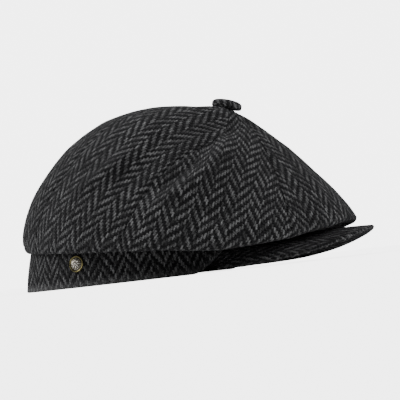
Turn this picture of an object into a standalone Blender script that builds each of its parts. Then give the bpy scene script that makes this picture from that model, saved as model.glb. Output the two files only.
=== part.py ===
# Newsboy cap: eight cloth panels gathered under a covered button, a band,
# a short stiff peak, a satin lining and a small metal badge on the band.
# Metres, +Z up. The peak points to -Y, and the cap rests on its rim at Z = 0.
# The origin is on the floor, under the middle of the cap's whole outline.

import math

import bmesh
import bpy
from mathutils import Matrix, Vector

# Band, measured outside at the rim
BAND_HALF_LENGTH = 0.103
BAND_HALF_WIDTH = 0.086
BAND_HEIGHT = 0.034
BAND_WALL = 0.0028
BAND_LEAN = 0.003          # the top of the band leans in by this much
BAND_BACK_LEAN = 0.004     # and by this much more at the back
BACK_LEAN_STARTS = 106.6   # degrees from the front where that extra lean begins
BAND_FRONT_RISE = 0.006    # the top of the band climbs over the forehead
FRONT_RISE_STARTS = 101.5  # degrees from the front where the climb begins
HEM_ROUND = 0.0007         # rounding of the folded hem
RIM_LIFT = 0.019           # the rim arches up over the forehead
LIFT_STARTS = 56.0         # degrees from the front where the arch leaves the floor
LIFT_ENDS = 33.0           # degrees from the front where it is at its full height

# Crown
CLOTH = 0.0018
CROWN_BACK_OVERHANG = -0.0042
CROWN_SIDE_OVERHANG = 0.028
SWELL_SKEW = 1.2           # carries the crown's swell towards the fold
RELIEF_FADE = 0.16         # dents fade out within this share of the way to the fold
FOLD_ROUND = 0.005         # radius of the soft fold round the crown's lower edge
FOLD_DROP = 1.5            # the cloth drops past the fold by this many fold radii
FOLD_DROP_SHARE = 0.75     # and at least by this share of the way down to the band
TUCK_LEVEL = 1.3           # then turns in level, this many fold radii below the fold
TUCK_TIGHT = 0.6           # share of the way in of that turn where there is no room
TUCK_WIDE = 0.35           # and where there is room for the whole fold
ROOM = 4.0                 # fold radii from the band that make room for the whole fold
PANEL_PUFF = 0.0030        # how far the middle of a panel stands out past its seams
PUFF_ENDS = 0.04           # share of a puff's arch that is left off at each end
PUFF_FULLNESS = 0.8
SEAM_GAP = 0.0008
PIECE_GAP = 0.0004
BUTTON_HEIGHT = 0.131      # cloth under the button, above the floor
BUTTON_SETBACK = 0.020     # the button lies this far behind the front of the band
BUTTON_HOLE = 0.0042

# Button
BUTTON_RADIUS = 0.0126
BUTTON_THICKNESS = 0.0068
BUTTON_STANDOFF = 0.0022
BUTTON_TILT = 15.0         # degrees, the front edge down
BUTTON_DOME_SHARE = 0.55   # share of the button's thickness above its widest line
SHANK_STARTS = 0.3         # share of the standoff where the shank begins
SHANK_RADIUS = 0.0030
SHANK_LENGTH = 0.005

# Peak
PEAK_REACH = 0.0855        # from the front of the band to the tip
PEAK_SHOW = 0.0115         # how much of the tip the crown leaves bare
PEAK_THICKNESS = 0.0034
PEAK_HALF_SPREAD = 49.0    # degrees of the band each side of the front
PEAK_FLARE = 36.0          # degrees that the peak's sides splay outwards
PEAK_TIP_HEIGHT = 0.021
PEAK_CORNER_HEIGHT = 0.0030
PEAK_CAMBER = 0.0022       # upward bow from the band to the tip
PEAK_CORNER_REACH = 0.003
PEAK_SPAN = 0.995          # share of the spread that the peak's ends reach
PEAK_FULLNESS = 0.55       # power of the outline: lower is squarer
PEAK_RISE = 2.2            # power of the edge's climb from the corners to the tip
PEAK_FOOT = 0.6            # share of the band's wall that stands over the peak
PEAK_SETTLE = 3.0          # the peak is level under the band, over one part in this

# Lining
LINING_WALL = 0.0010
LINING_HEM = 0.003         # bare hem of the band below the lining
LINING_DROP = 0.012        # from the crown under the button to the top of the lining
LINING_ROUNDNESS = 2.3
LINING_TOP_SHIFT = 0.45    # its top lies this share of the way towards the button
LINING_GATHERS = 12
GATHER_DEPTH = 0.0012

# Badge on the wearer's right, behind the temple
BADGE_RADIUS = 0.0064
BADGE_THICKNESS = 0.0016
BADGE_ANGLE = -107.0       # degrees round the band from the front
BADGE_HEIGHT = 0.0180

# Crown sections, from the front to the back. angle is round the band in degrees.
# over_peak and over_band are the height of the lower fold, as shares of the top
# of the peak and of the band's height. roundness bends the side of the section,
# and swell lifts its middle, as a share of the height under the button.
CROWN_SECTIONS = [
    {"angle": 0.0, "over_peak": 1.00, "over_band": 0.00, "roundness": 1.15, "swell": 0.000},
    {"angle": 22.5, "over_peak": 0.90, "over_band": 0.00, "roundness": 1.18, "swell": 0.002},
    {"angle": 45.0, "over_peak": 0.45, "over_band": 0.18, "roundness": 1.26, "swell": 0.006},
    {"angle": 67.5, "over_peak": 0.10, "over_band": 0.36, "roundness": 1.35, "swell": 0.015},
    {"angle": 90.0, "over_peak": 0.00, "over_band": 0.60, "roundness": 1.48, "swell": 0.030},
    {"angle": 112.5, "over_peak": 0.00, "over_band": 0.75, "roundness": 1.65, "swell": 0.065},
    {"angle": 135.0, "over_peak": 0.00, "over_band": 0.85, "roundness": 1.80, "swell": 0.100},
    {"angle": 157.5, "over_peak": 0.00, "over_band": 0.97, "roundness": 1.90, "swell": 0.114},
    {"angle": 180.0, "over_peak": 0.00, "over_band": 1.05, "roundness": 1.93, "swell": 0.118},
]

# Seams between the panels. at_button and at_fold are degrees from the front, the
# same on both sides of the cap.
SEAMS = [
    {"at_button": 0.0, "at_fold": 0.0},
    {"at_button": 38.0, "at_fold": 45.0},
    {"at_button": 66.0, "at_fold": 99.0},
    {"at_button": 128.0, "at_fold": 139.0},
    {"at_button": 180.0, "at_fold": 180.0},
]

# Dents and bulges of the soft crown. angle is in degrees from the front, negative
# on the wearer's right. reach is the share of the way from the button to the fold.
# depth is a share of the height under the button, negative for a bulge.
CROWN_RELIEF = [
    {"angle": -97.0, "spread": 27.0, "reach": 0.36, "length": 0.26, "depth": 0.110},
    {"angle": -112.0, "spread": 11.0, "reach": 0.52, "length": 0.20, "depth": 0.045},
    {"angle": -99.0, "spread": 6.5, "reach": 0.72, "length": 0.17, "depth": 0.022},
    {"angle": -87.0, "spread": 7.0, "reach": 0.74, "length": 0.17, "depth": -0.018},
    {"angle": -96.0, "spread": 12.0, "reach": 0.84, "length": 0.16, "depth": -0.035},
    {"angle": -137.0, "spread": 10.0, "reach": 0.62, "length": 0.24, "depth": -0.030},
    {"angle": -62.0, "spread": 17.0, "reach": 0.72, "length": 0.22, "depth": 0.016},
    {"angle": 98.0, "spread": 27.0, "reach": 0.38, "length": 0.26, "depth": 0.100},
    {"angle": 116.0, "spread": 12.0, "reach": 0.50, "length": 0.20, "depth": 0.035},
    {"angle": 97.0, "spread": 13.0, "reach": 0.84, "length": 0.16, "depth": -0.030},
    {"angle": 64.0, "spread": 17.0, "reach": 0.70, "length": 0.22, "depth": 0.016},
    {"angle": 160.0, "spread": 15.0, "reach": 0.70, "length": 0.20, "depth": 0.018},
]

# Underside of the button, as shares of its radius and of the height of its widest
# line.
BUTTON_UNDERSIDE = [
    {"radius": 0.96, "height": 0.35},
    {"radius": 0.84, "height": 0.00},
]

# Section of the badge from the middle of its face to the middle of its back: a low
# dome, a groove and a raised rim. Shares of its radius and thickness.
BADGE_SECTION = [
    {"radius": 0.00, "height": 1.00},
    {"radius": 0.39, "height": 0.94},
    {"radius": 0.78, "height": 0.70},
    {"radius": 0.86, "height": 0.86},
    {"radius": 0.96, "height": 0.70},
    {"radius": 1.00, "height": 0.40},
    {"radius": 0.97, "height": 0.00},
    {"radius": 0.00, "height": 0.00},
]

# Mesh steps
BAND_STEPS = 96
PANEL_STEPS = 8
SKIN_STEPS = 14
UNDER_STEPS = 5
PEAK_STEPS = 32
PEAK_ROWS = 7
EDGE_STEPS = 4
LINING_STEPS = 48
LINING_ROWS = 9
LINING_FOOT_ROWS = 3
TURN_STEPS = 28
DOME_STEPS = 5
SLOPE_STEP = 0.004         # small step along a sheet that gives its slope

CROWN_FRONT = BAND_HALF_LENGTH + PEAK_REACH - PEAK_SHOW
CROWN_BACK = BAND_HALF_LENGTH + CROWN_BACK_OVERHANG
CROWN_HALF_LENGTH = (CROWN_FRONT + CROWN_BACK) / 2
CROWN_HALF_WIDTH = BAND_HALF_WIDTH + CROWN_SIDE_OVERHANG
CROWN_CENTRE_Y = (CROWN_BACK - CROWN_FRONT) / 2
PEAK_TOP = PEAK_TIP_HEIGHT + PEAK_CAMBER + PEAK_THICKNESS / 2 + PIECE_GAP
BUTTON_FOOT = Vector((0, BUTTON_SETBACK - BAND_HALF_LENGTH, BUTTON_HEIGHT))
OUTLINE_BACK = max(CROWN_BACK, BAND_HALF_LENGTH)
OUTLINE_FRONT = BAND_HALF_LENGTH + PEAK_REACH + PEAK_THICKNESS / 2
OUTLINE_CENTRE_Y = (OUTLINE_BACK - OUTLINE_FRONT) / 2
PANELS = 2 * (len(SEAMS) - 1)

COLOURS = {
    "tweed": ((0.035, 0.035, 0.037, 1.0), 0.9, 0.0),
    "satin": ((0.006, 0.006, 0.007, 1.0), 0.5, 0.0),
    "brass": ((0.62, 0.56, 0.40, 1.0), 0.3, 1.0),
}


def smooth(share):
    share = min(1.0, max(0.0, share))
    return share * share * (3 - 2 * share)


def between(low, high, share):
    return low + (high - low) * share


def section_value(column, degrees):
    step = 180.0 / (len(CROWN_SECTIONS) - 1)
    place = abs((degrees + 180.0) % 360.0 - 180.0) / step
    row = min(int(place), len(CROWN_SECTIONS) - 2)
    part = place - row
    last = len(CROWN_SECTIONS) - 1
    rows = [abs(row - 1), row, row + 1, row + 2 if row + 2 <= last else last - 1]
    a, b, c, d = (CROWN_SECTIONS[r][column] for r in rows)
    return b + part / 2 * (c - a + part * (2 * a - 5 * b + 4 * c - d + part * (3 * (b - c) + d - a)))


# Seam number to an angle at the fold or at the button, in radians. Seam 0 is at the
# front, and the numbers run on past the back and up the other side.
def seam_turn(number, column):
    half = len(SEAMS) - 1
    turns, place = divmod(number, 2 * half)
    whole = min(int(place), 2 * half - 1)
    ends = []
    for seam in (whole, whole + 1):
        mirrored = 2 * half - seam
        ends.append(SEAMS[seam][column] if seam <= half else 360.0 - SEAMS[mirrored][column])
    return math.radians(360.0 * turns + between(ends[0], ends[1], place - whole))


# A point of an oval. The angle is from the front, in radians, towards +X.
def oval(angle, half_width, half_length):
    return Vector((half_width * math.sin(angle), -half_length * math.cos(angle), 0))


# The lower edge of the band, which arches up over the forehead.
def rim_height(angle):
    degrees = abs(math.degrees(math.remainder(angle, math.tau)))
    return RIM_LIFT * smooth((LIFT_STARTS - degrees) / (LIFT_STARTS - LIFT_ENDS))


def band_top(angle):
    start = math.cos(math.radians(FRONT_RISE_STARTS))
    return BAND_HEIGHT + BAND_FRONT_RISE * smooth((math.cos(angle) - start) / (1 - start))


# A point of the band: inset from its outer face, at a share of its height.
def band_face(angle, height_share, inset):
    start = math.cos(math.radians(BACK_LEAN_STARTS))
    back = smooth((start - math.cos(angle)) / (start + 1))
    lean = (BAND_LEAN + BAND_BACK_LEAN * back) * height_share
    point = oval(angle, BAND_HALF_WIDTH - lean - inset, BAND_HALF_LENGTH - lean - inset)
    point.z = between(rim_height(angle), band_top(angle), height_share)
    return point


def fold_height(angle):
    degrees = math.degrees(angle)
    return (section_value("over_peak", degrees) * PEAK_TOP
            + section_value("over_band", degrees) * BAND_HEIGHT)


# The outermost line of the crown, just above its lower fold.
def fold_point(angle):
    point = oval(angle, CROWN_HALF_WIDTH, CROWN_HALF_LENGTH)
    point.y += CROWN_CENTRE_Y
    point.z = fold_height(angle) + FOLD_ROUND
    return point


def relief_depth(angle, reach):
    depth = 0.0
    for dent in CROWN_RELIEF:
        turn = math.degrees(math.remainder(angle - math.radians(dent["angle"]), math.tau))
        across = math.exp(-((turn / dent["spread"]) ** 2))
        along = math.exp(-(((reach - dent["reach"]) / dent["length"]) ** 2))
        depth += dent["depth"] * BUTTON_HEIGHT * across * along
    return depth * smooth((1 - reach) / RELIEF_FADE) * smooth(reach / (2 * RELIEF_FADE))


# The crown's outer face without puffs, at a place counted in seams round the cap.
# along is 0 at the button hole, 1 at the fold and 2 where the cloth meets the band.
def crown_plain(place, along):
    angle = seam_turn(place, "at_fold")
    fold = fold_point(angle)
    if along <= 1:
        leave = seam_turn(place, "at_button")
        arm = (fold - BUTTON_FOOT).to_2d()
        bend = Vector((math.sin(leave), -math.cos(leave))) * arm.length / 2
        power = section_value("roundness", math.degrees(angle))
        start = math.asin((BUTTON_HOLE / arm.length) ** (power / 2))
        turn = between(start, math.pi / 2, along)
        reach = math.sin(turn) ** (2 / power)
        rise = max(0.0, math.cos(turn)) ** (2 / power)
        swell = section_value("swell", math.degrees(angle)) * BUTTON_HEIGHT
        height = between(fold.z, BUTTON_HEIGHT, rise) + swell * math.sin(math.pi * reach ** SWELL_SKEW)
        height -= relief_depth(angle, reach)
        plan = BUTTON_FOOT.to_2d() + bend * 2 * reach * (1 - reach) + arm * reach * reach
        return Vector((plan.x, plan.y, height))
    part = along - 1
    end = band_face(angle, 1.0, BAND_WALL / 2)
    room = smooth((fold - end).to_2d().length / (ROOM * FOLD_ROUND))
    end.z += PIECE_GAP + BAND_WALL / 2 * room
    first = fold.copy()
    first.z -= max(FOLD_DROP * FOLD_ROUND * room, (fold.z - end.z) * FOLD_DROP_SHARE)
    second = fold.lerp(end, between(TUCK_TIGHT, TUCK_WIDE, room))
    second.z = between(end.z, fold.z - TUCK_LEVEL * FOLD_ROUND, room * room)
    rest = 1 - part
    return (fold * rest ** 3 + first * (3 * rest * rest * part)
            + second * (3 * rest * part * part) + end * part ** 3)


# The outward direction of a sheet given by a function of its place round the cap
# and along the section.
def sheet_normal(sheet, place, along, last):
    above = max(0.0, along - SLOPE_STEP)
    below = min(last, along + SLOPE_STEP)
    round_way = sheet(place + SLOPE_STEP, along) - sheet(place - SLOPE_STEP, along)
    down_way = sheet(place, below) - sheet(place, above)
    return down_way.cross(round_way).normalized()


def crown_normal(place, along):
    return sheet_normal(crown_plain, place, along, 2.0)


# The crown's outer face, with each panel puffed out between its seams.
def crown_point(place, along):
    arch = math.sin(math.pi * between(PUFF_ENDS, 1 - PUFF_ENDS, min(1.0, along)))
    fade = arch ** PUFF_FULLNESS if along < 1 else 0.0
    puff = PANEL_PUFF * math.sin(math.pi * (place % 1.0)) * fade
    return crown_plain(place, along) + crown_normal(place, along) * puff


# The place just inside a seam, so that two panels keep SEAM_GAP between them.
def seam_place(seam, along, side):
    above = max(0.0, along - SLOPE_STEP)
    below = min(2.0, along + SLOPE_STEP)
    round_way = crown_plain(seam + SLOPE_STEP, along) - crown_plain(seam - SLOPE_STEP, along)
    down_way = crown_plain(seam, below) - crown_plain(seam, above)
    across = round_way - round_way.project(down_way)
    return seam + side * SEAM_GAP * SLOPE_STEP / across.length


# The outer edge of the peak. share runs from -1 at one corner to 1 at the other.
def peak_outline(share):
    angle = math.radians(PEAK_HALF_SPREAD) * share
    foot = oval(angle, BAND_HALF_WIDTH, BAND_HALF_LENGTH)
    fullness = max(0.0, math.cos(math.pi / 2 * share))
    reach = between(PEAK_CORNER_REACH, PEAK_REACH, fullness ** PEAK_FULLNESS)
    flare = math.radians(PEAK_FLARE) * share
    height = between(PEAK_CORNER_HEIGHT, PEAK_TIP_HEIGHT, fullness ** PEAK_RISE)
    return Vector((foot.x + reach * math.sin(flare), foot.y - reach * math.cos(flare), height))


# The middle of the peak's thickness. across is 0 under the band and 1 at the outer
# edge.
def peak_sheet(share, across):
    angle = math.radians(PEAK_HALF_SPREAD) * share
    foot = BAND_WALL * PEAK_FOOT
    inner = oval(angle, BAND_HALF_WIDTH - foot, BAND_HALF_LENGTH - foot)
    inner.z = rim_height(angle) - PIECE_GAP - PEAK_THICKNESS / 2
    outer = peak_outline(share)
    point = inner.lerp(outer, across)
    fullness = max(0.0, math.cos(math.pi / 2 * share))
    point.z += 4 * PEAK_CAMBER * across * (1 - across) * fullness
    return point


# A closed loop round the peak at one share of its width: top, rounded edge, underside.
def peak_section(share):
    step = SLOPE_STEP
    half = PEAK_THICKNESS / 2
    loop = []
    normals = []
    for row in range(PEAK_ROWS + 1):
        across = row / PEAK_ROWS
        width_way = peak_sheet(share + step, across) - peak_sheet(share - step, across)
        outward = peak_sheet(share, across + step) - peak_sheet(share, across - step)
        normal = outward.cross(width_way)
        lean = smooth(across * PEAK_SETTLE)
        normals.append(Vector((0, 0, 1)).lerp(normal.normalized(), lean).normalized())
    for row in range(PEAK_ROWS + 1):
        loop.append(peak_sheet(share, row / PEAK_ROWS) + normals[row] * half)
    edge = peak_sheet(share, 1.0)
    outward = (edge - peak_sheet(share, 1.0 - step)).normalized()
    for step_index in range(1, EDGE_STEPS):
        turn = math.pi * step_index / EDGE_STEPS
        loop.append(edge + normals[-1] * half * math.cos(turn) + outward * half * math.sin(turn))
    for row in range(PEAK_ROWS, -1, -1):
        loop.append(peak_sheet(share, row / PEAK_ROWS) - normals[row] * half)
    return loop


# The lining's outer face: 0 at its hem, 1 at the band's top, 2 at the crown of the
# head.
def lining_point(angle, along):
    gather = GATHER_DEPTH * (0.5 - 0.5 * math.cos(LINING_GATHERS * angle))
    inset = BAND_WALL + PIECE_GAP
    if along <= 1:
        hem = LINING_HEM / (band_top(angle) - rim_height(angle))
        return band_face(angle, between(hem, 1, along), inset + gather * along)
    foot = band_face(angle, 1.0, inset + gather)
    top = Vector((0, BUTTON_FOOT.y * LINING_TOP_SHIFT, 0))
    turn = math.pi / 2 * (along - 1)
    reach = math.cos(turn) ** (2 / LINING_ROUNDNESS) if along < 2 else 0.0
    rise = math.sin(turn) ** (2 / LINING_ROUNDNESS)
    point = top.lerp(foot, reach)
    point.z = between(foot.z, BUTTON_HEIGHT - LINING_DROP, rise)
    return point


def lining_normal(angle, along):
    return -sheet_normal(lining_point, angle, along, 1.98)


def material(name):
    found = bpy.data.materials.get(name)
    if found:
        return found
    colour, roughness, metallic = COLOURS[name]
    made = bpy.data.materials.new(name)
    made.use_nodes = True
    shader = made.node_tree.nodes["Principled BSDF"]
    shader.inputs["Base Color"].default_value = colour
    shader.inputs["Roughness"].default_value = roughness
    shader.inputs["Metallic"].default_value = metallic
    made.diffuse_color = colour
    return made


def add_piece(name, mesh, finish, frame):
    mesh.materials.append(material(finish))
    mesh.shade_smooth()
    mesh.set_sharp_from_angle(angle=math.radians(40))
    piece = bpy.data.objects.new(name, mesh)
    bpy.context.scene.collection.objects.link(piece)
    piece.parent = frame
    return piece


# A cloth shell between two sheets of points. A row of one point closes its end.
# closed joins each row's end to its start.
def shell_mesh(name, outer, inner, closed):
    made = bmesh.new()
    skins = [[[made.verts.new(point) for point in row] for row in skin] for skin in (outer, inner)]
    count = max(len(row) for row in outer)
    links = [(i, (i + 1) % count) for i in range(count if closed else count - 1)]
    for skin in skins:
        for upper, lower in zip(skin, skin[1:]):
            for i, j in links:
                if len(upper) == 1:
                    made.faces.new((upper[0], lower[i], lower[j]))
                else:
                    made.faces.new((upper[i], lower[i], lower[j], upper[j]))
    for near, far in zip(*skins):
        if len(near) > 1 and (near is skins[0][0] or near is skins[0][-1]):
            for i, j in links:
                made.faces.new((near[i], near[j], far[j], far[i]))
    if not closed:
        near, far = skins
        for side in (0, -1):
            for row in range(len(outer) - 1):
                below = row + 1
                made.faces.new((near[row][side], near[below][side], far[below][side], far[row][side]))
    bmesh.ops.recalc_face_normals(made, faces=made.faces)
    mesh = bpy.data.meshes.new(name)
    made.to_mesh(mesh)
    made.free()
    return mesh


# A solid through closed loops: joined into a ring, or closed by a cap at both ends.
def loop_mesh(name, loops, ends):
    made = bmesh.new()
    verts = [[made.verts.new(point) for point in loop] for loop in loops]
    count = len(loops[0])
    pairs = list(zip(verts, verts[1:]))
    if not ends:
        pairs.append((verts[-1], verts[0]))
    for first, second in pairs:
        for i in range(count):
            j = (i + 1) % count
            made.faces.new((first[i], first[j], second[j], second[i]))
    if ends:
        made.faces.new(list(reversed(verts[0])))
        made.faces.new(verts[-1])
    bmesh.ops.recalc_face_normals(made, faces=made.faces)
    mesh = bpy.data.meshes.new(name)
    made.to_mesh(mesh)
    made.free()
    return mesh


# A turned solid. The profile is (radius, height) pairs from the top centre to the
# bottom centre.
def turned_mesh(name, profile):
    made = bmesh.new()
    rings = []
    turns = [math.tau * i / TURN_STEPS for i in range(TURN_STEPS)]
    for radius, height in profile[1:-1]:
        ring = [(radius * math.cos(turn), radius * math.sin(turn), height) for turn in turns]
        rings.append([made.verts.new(point) for point in ring])
    top = made.verts.new((0, 0, profile[0][1]))
    bottom = made.verts.new((0, 0, profile[-1][1]))
    for i in range(TURN_STEPS):
        j = (i + 1) % TURN_STEPS
        made.faces.new((top, rings[0][i], rings[0][j]))
        made.faces.new((bottom, rings[-1][j], rings[-1][i]))
        for upper, lower in zip(rings, rings[1:]):
            made.faces.new((upper[i], lower[i], lower[j], upper[j]))
    mesh = bpy.data.meshes.new(name)
    made.to_mesh(mesh)
    made.free()
    return mesh


def make_band(frame):
    hem = ((0, HEM_ROUND), (HEM_ROUND, 0), (BAND_WALL - HEM_ROUND, 0), (BAND_WALL, HEM_ROUND))
    loops = []
    for step in range(BAND_STEPS):
        angle = math.tau * step / BAND_STEPS
        loop = []
        for inset, lift in hem:
            point = band_face(angle, 0.0, inset)
            point.z += lift
            loop.append(point)
        for share, inset in ((0.5, BAND_WALL), (1.0, BAND_WALL), (1.0, 0), (0.5, 0)):
            loop.append(band_face(angle, share, inset))
        loops.append(loop)
    add_piece("band", loop_mesh("band", loops, ends=False), "tweed", frame)


def make_crown(frame):
    stations = [i / SKIN_STEPS for i in range(SKIN_STEPS)]
    stations += [1 + i / UNDER_STEPS for i in range(UNDER_STEPS + 1)]
    for panel in range(PANELS):
        outer = []
        inner = []
        for along in stations:
            low = seam_place(panel, along, 1)
            high = seam_place(panel + 1, along, -1)
            places = [between(low, high, i / PANEL_STEPS) for i in range(PANEL_STEPS + 1)]
            skin = [crown_point(place, along) for place in places]
            outer.append(skin)
            inner.append([p - crown_normal(w, along) * CLOTH for p, w in zip(skin, places)])
        name = f"crown_panel_{panel + 1}"
        add_piece(name, shell_mesh(name, outer, inner, closed=False), "tweed", frame)


def make_peak(frame):
    shares = [math.sin(math.pi / 2 * (2 * i / PEAK_STEPS - 1)) for i in range(PEAK_STEPS + 1)]
    loops = [peak_section(share * PEAK_SPAN) for share in shares]
    add_piece("peak", loop_mesh("peak", loops, ends=True), "tweed", frame)


def make_lining(frame):
    stations = [i / LINING_FOOT_ROWS for i in range(LINING_FOOT_ROWS)]
    stations += [1 + i / LINING_ROWS for i in range(LINING_ROWS)]
    turns = [math.tau * i / LINING_STEPS for i in range(LINING_STEPS)]
    outer = [[lining_point(0.0, 2.0)]]
    inner = [[outer[0][0] - Vector((0, 0, LINING_WALL))]]
    for along in reversed(stations):
        outer.append([lining_point(turn, along) for turn in turns])
        inner.append([lining_point(t, along) - lining_normal(t, along) * LINING_WALL for t in turns])
    add_piece("lining", shell_mesh("lining", outer, inner, closed=True), "satin", frame)


def make_button(frame):
    dome = BUTTON_THICKNESS * BUTTON_DOME_SHARE
    rim = BUTTON_THICKNESS - dome
    profile = [(0, BUTTON_THICKNESS)]
    for row in range(1, DOME_STEPS + 1):
        turn = math.pi / 2 * row / DOME_STEPS
        profile.append((BUTTON_RADIUS * math.sin(turn), rim + dome * math.cos(turn)))
    for row in BUTTON_UNDERSIDE:
        profile.append((BUTTON_RADIUS * row["radius"], rim * row["height"]))
    profile.append((SHANK_RADIUS, -BUTTON_STANDOFF * SHANK_STARTS))
    profile.append((SHANK_RADIUS, -SHANK_LENGTH))
    profile.append((0, -SHANK_LENGTH))
    piece = add_piece("top_button", turned_mesh("top_button", profile), "tweed", frame)
    piece.location = BUTTON_FOOT + Vector((0, 0, BUTTON_STANDOFF))
    piece.rotation_euler = (math.radians(BUTTON_TILT), 0, 0)


def make_badge(frame):
    profile = [(BADGE_RADIUS * row["radius"], BADGE_THICKNESS * row["height"]) for row in BADGE_SECTION]
    angle = math.radians(BADGE_ANGLE)
    share = (BADGE_HEIGHT - rim_height(angle)) / (band_top(angle) - rim_height(angle))
    seat = band_face(angle, share, 0)
    round_way = band_face(angle + SLOPE_STEP, share, 0) - band_face(angle - SLOPE_STEP, share, 0)
    up_way = band_face(angle, share + SLOPE_STEP, 0) - band_face(angle, share - SLOPE_STEP, 0)
    out = round_way.cross(up_way).normalized()
    side = up_way.cross(out).normalized()
    turn = Matrix((side, out.cross(side), out)).transposed().to_4x4()
    piece = add_piece("badge", turned_mesh("badge", profile), "brass", frame)
    piece.matrix_local = Matrix.Translation(seat + out * PIECE_GAP) @ turn


def clear_scene():
    for old in list(bpy.data.objects):
        bpy.data.objects.remove(old)


def main():
    clear_scene()
    frame = bpy.data.objects.new("cap_frame", None)
    bpy.context.scene.collection.objects.link(frame)
    frame.location = (0, -OUTLINE_CENTRE_Y, 0)
    make_band(frame)
    make_crown(frame)
    make_peak(frame)
    make_lining(frame)
    make_button(frame)
    make_badge(frame)


main()
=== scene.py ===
# Newsboy cap in herringbone tweed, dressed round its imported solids.
# Metres, +Z up, the peak towards -Y. The cap rests on its rim at Z = 0.

import math

import bpy
import numpy as np
from mathutils import Matrix, Vector, noise


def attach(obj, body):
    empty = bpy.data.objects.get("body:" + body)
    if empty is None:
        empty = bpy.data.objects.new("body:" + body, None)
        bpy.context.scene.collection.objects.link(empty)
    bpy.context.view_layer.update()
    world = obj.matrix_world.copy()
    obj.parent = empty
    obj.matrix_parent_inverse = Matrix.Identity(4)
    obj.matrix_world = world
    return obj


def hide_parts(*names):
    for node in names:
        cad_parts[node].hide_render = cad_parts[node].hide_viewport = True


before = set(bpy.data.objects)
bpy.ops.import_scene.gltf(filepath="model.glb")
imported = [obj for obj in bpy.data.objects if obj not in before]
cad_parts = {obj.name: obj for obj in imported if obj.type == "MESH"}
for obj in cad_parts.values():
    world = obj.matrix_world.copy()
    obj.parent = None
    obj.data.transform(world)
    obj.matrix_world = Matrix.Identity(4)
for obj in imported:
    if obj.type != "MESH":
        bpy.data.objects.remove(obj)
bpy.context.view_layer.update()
print("frame loaded:", len(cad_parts), "nodes")


# small helpers

def deselectAll():
    bpy.ops.object.select_all(action="DESELECT")


def smooth(share):
    share = np.clip(share, 0.0, 1.0)
    return share * share * (3 - 2 * share)


def between(low, high, share):
    return low + (high - low) * share


def lengthOf(vectors):
    return np.linalg.norm(vectors, axis=-1, keepdims=True)


def unit(vectors):
    return vectors / np.maximum(lengthOf(vectors), 1e-12)


def running(points, axis):
    # distance walked along a row or a column of points
    steps = np.linalg.norm(np.diff(points, axis=axis), axis=-1)
    pad = [(0, 0), (0, 0)]
    pad[axis] = (1, 0)
    return np.pad(np.cumsum(steps, axis=axis), pad)


def softNoise(points, size, seed):
    # smooth noise from about -1 to 1, with lumps of that size in metres
    flat = points.reshape(-1, 3)
    shift = Vector((seed * 3.17, seed * 1.93, seed * 5.71))
    values = [noise.noise(Vector(p) / size + shift) for p in flat]
    return np.array(values).reshape(points.shape[:-1])


def makeSheet(name, columns, rows, shapeIt):
    # a grid laid where shapeIt says, with a UV map for the cloth and a wear value
    deselectAll()
    bpy.ops.mesh.primitive_grid_add(x_subdivisions=columns, y_subdivisions=rows, size=1.0)
    piece = bpy.context.object
    piece.name = name
    mesh = piece.data
    mesh.name = name
    spots = np.round(readVectors(mesh.vertices, "co", 3) + 0.5, 5)
    acrossLine, column = np.unique(spots[:, 0], return_inverse=True)
    upLine, row = np.unique(spots[:, 1], return_inverse=True)
    points, cloth, rub = shapeIt(*np.meshgrid(acrossLine, upLine))
    points = points + np.array((0.0, bandSizes["shiftY"], 0.0))
    mesh.vertices.foreach_set("co", points[row, column].ravel())
    corners = cornerVertices(mesh)
    mesh.uv_layers.active.name = "cloth"
    mesh.uv_layers["cloth"].data.foreach_set("uv", cloth[row, column][corners].ravel())
    wear = mesh.attributes.new("rub", "FLOAT", "POINT")
    wear.data.foreach_set("value", rub[row, column].ravel())
    mesh.update()
    return piece


def readVectors(items, field, width):
    values = np.empty(width * len(items))
    items.foreach_get(field, values)
    return values.reshape(-1, width)


def cornerVertices(mesh):
    corners = np.empty(len(mesh.loops), np.int32)
    mesh.loops.foreach_get("vertex_index", corners)
    return corners


# grid places on a panel's middle line, low and high, and one beside it
panelMarks = ((0.5, 0.25), (0.5, 0.85), (0.9, 0.25))


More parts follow.
